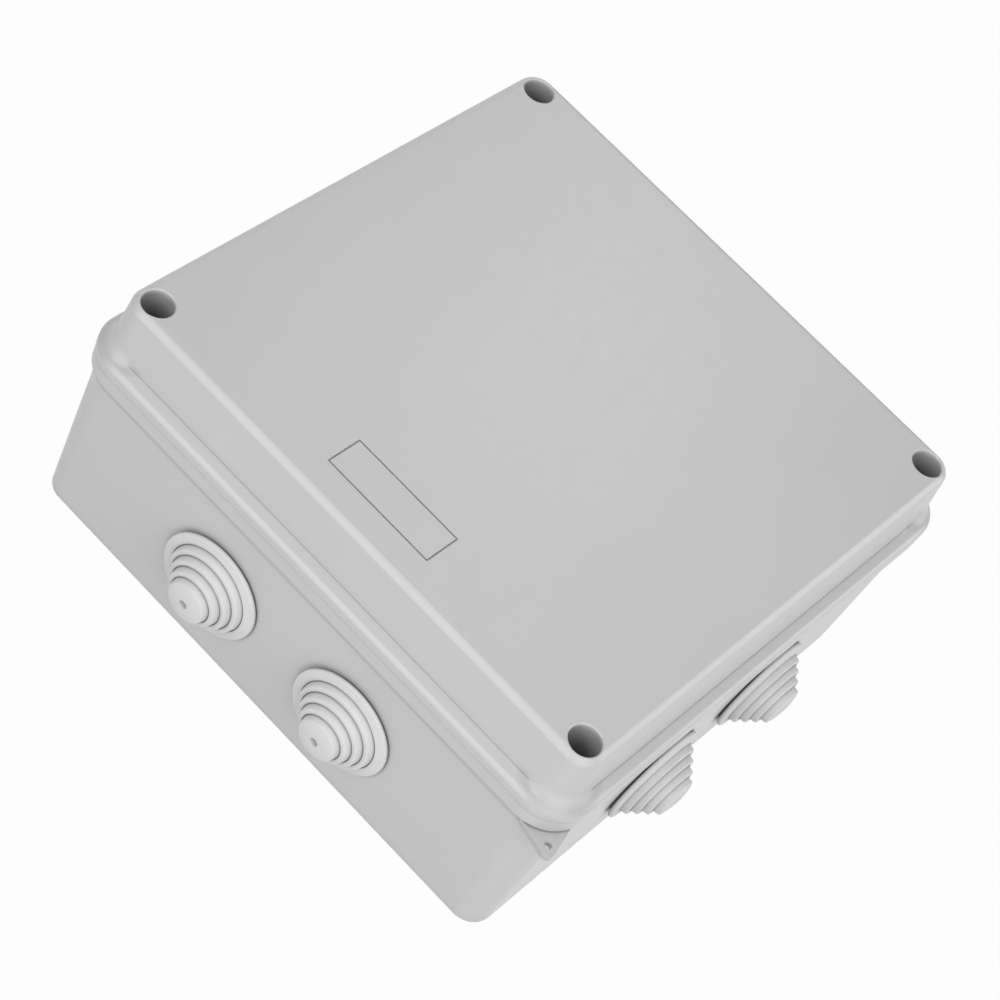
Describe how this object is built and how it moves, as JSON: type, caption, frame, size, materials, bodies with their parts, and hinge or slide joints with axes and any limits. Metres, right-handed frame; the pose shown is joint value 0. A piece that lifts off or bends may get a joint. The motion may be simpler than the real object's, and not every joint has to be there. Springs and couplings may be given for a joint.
{
  "type": "junction box",
  "caption": "Square surface-mounting junction box with a lift-off screwed lid, a flanged sealing rim and stepped rubber cable grommets in its walls.",
  "frame": {"origin": "middle of the underside, in the plane that goes against the wall", "axes": "+Z out of the wall through the lid, -Y the front wall nearest the camera at the picture's left, +X the wall at the picture's right"},
  "size_m": [0.167, 0.167, 0.07],
  "materials": {
    "shell_plastic": "fine satin moulded light grey plastic",
    "grommet_rubber": "soft satin light grey rubber",
    "seal_rubber": "matt black foam rubber",
    "screw_steel": "zinc-plated steel",
    "insert_brass": "turned brass",
    "nylon": "natural nylon"
  },
  "bodies": {
    "base": {"base": "shell_plastic", "threaded_insert_front_left": "insert_brass", "threaded_insert_front_right": "insert_brass", "threaded_insert_back_right": "insert_brass", "threaded_insert_back_left": "insert_brass", "grommet_front_left": "grommet_rubber", "grommet_front_right": "grommet_rubber", "grommet_right_front": "grommet_rubber", "grommet_right_back": "grommet_rubber", "grommet_back_left": "grommet_rubber", "grommet_back_right": "grommet_rubber", "grommet_left_front": "grommet_rubber", "grommet_left_back": "grommet_rubber"},
    "lid": {"lid": "shell_plastic", "gasket": "seal_rubber", "screw_retainer_front_left": "nylon", "screw_retainer_front_right": "nylon", "screw_retainer_back_right": "nylon", "screw_retainer_back_left": "nylon"},
    "washer_front_left": {"screw_washer_front_left": "nylon"},
    "screw_front_left": {"lid_screw_front_left": "screw_steel"},
    "washer_front_right": {"screw_washer_front_right": "nylon"},
    "screw_front_right": {"lid_screw_front_right": "screw_steel"},
    "washer_back_right": {"screw_washer_back_right": "nylon"},
    "screw_back_right": {"lid_screw_back_right": "screw_steel"},
    "washer_back_left": {"screw_washer_back_left": "nylon"},
    "screw_back_left": {"lid_screw_back_left": "screw_steel"}
  },
  "joints": [
    {"name": "lid_lift", "type": "slide", "parent": "base", "child": "lid", "axis": [0, 0, 1], "range_m": [0, 0.06]},
    {"name": "screw_front_left_rise", "type": "slide", "parent": "lid", "child": "washer_front_left", "axis": [0, 0, 1], "range_m": [0, 0.008]},
    {"name": "screw_front_left_turn", "type": "hinge", "parent": "washer_front_left", "child": "screw_front_left", "pos_m": [-0.0665, -0.0665, 0.0568], "axis": [0, 0, 1], "range_deg": [0, 4115]},
    {"name": "screw_front_right_rise", "type": "slide", "parent": "lid", "child": "washer_front_right", "axis": [0, 0, 1], "range_m": [0, 0.008]},
    {"name": "screw_front_right_turn", "type": "hinge", "parent": "washer_front_right", "child": "screw_front_right", "pos_m": [0.0665, -0.0665, 0.0568], "axis": [0, 0, 1], "range_deg": [0, 4115]},
    {"name": "screw_back_right_rise", "type": "slide", "parent": "lid", "child": "washer_back_right", "axis": [0, 0, 1], "range_m": [0, 0.008]},
    {"name": "screw_back_right_turn", "type": "hinge", "parent": "washer_back_right", "child": "screw_back_right", "pos_m": [0.0665, 0.0665, 0.0568], "axis": [0, 0, 1], "range_deg": [0, 4115]},
    {"name": "screw_back_left_rise", "type": "slide", "parent": "lid", "child": "washer_back_left", "axis": [0, 0, 1], "range_m": [0, 0.008]},
    {"name": "screw_back_left_turn", "type": "hinge", "parent": "washer_back_left", "child": "screw_back_left", "pos_m": [-0.0665, 0.0665, 0.0568], "axis": [0, 0, 1], "range_deg": [0, 4115]}
  ],
  "couplings": [
    {"joint": "screw_front_left_turn", "follows": "screw_front_left_rise", "rad_per_m": 8976},
    {"joint": "screw_front_right_turn", "follows": "screw_front_right_rise", "rad_per_m": 8976},
    {"joint": "screw_back_right_turn", "follows": "screw_back_right_rise", "rad_per_m": 8976},
    {"joint": "screw_back_left_turn", "follows": "screw_back_left_rise", "rad_per_m": 8976}
  ]
}
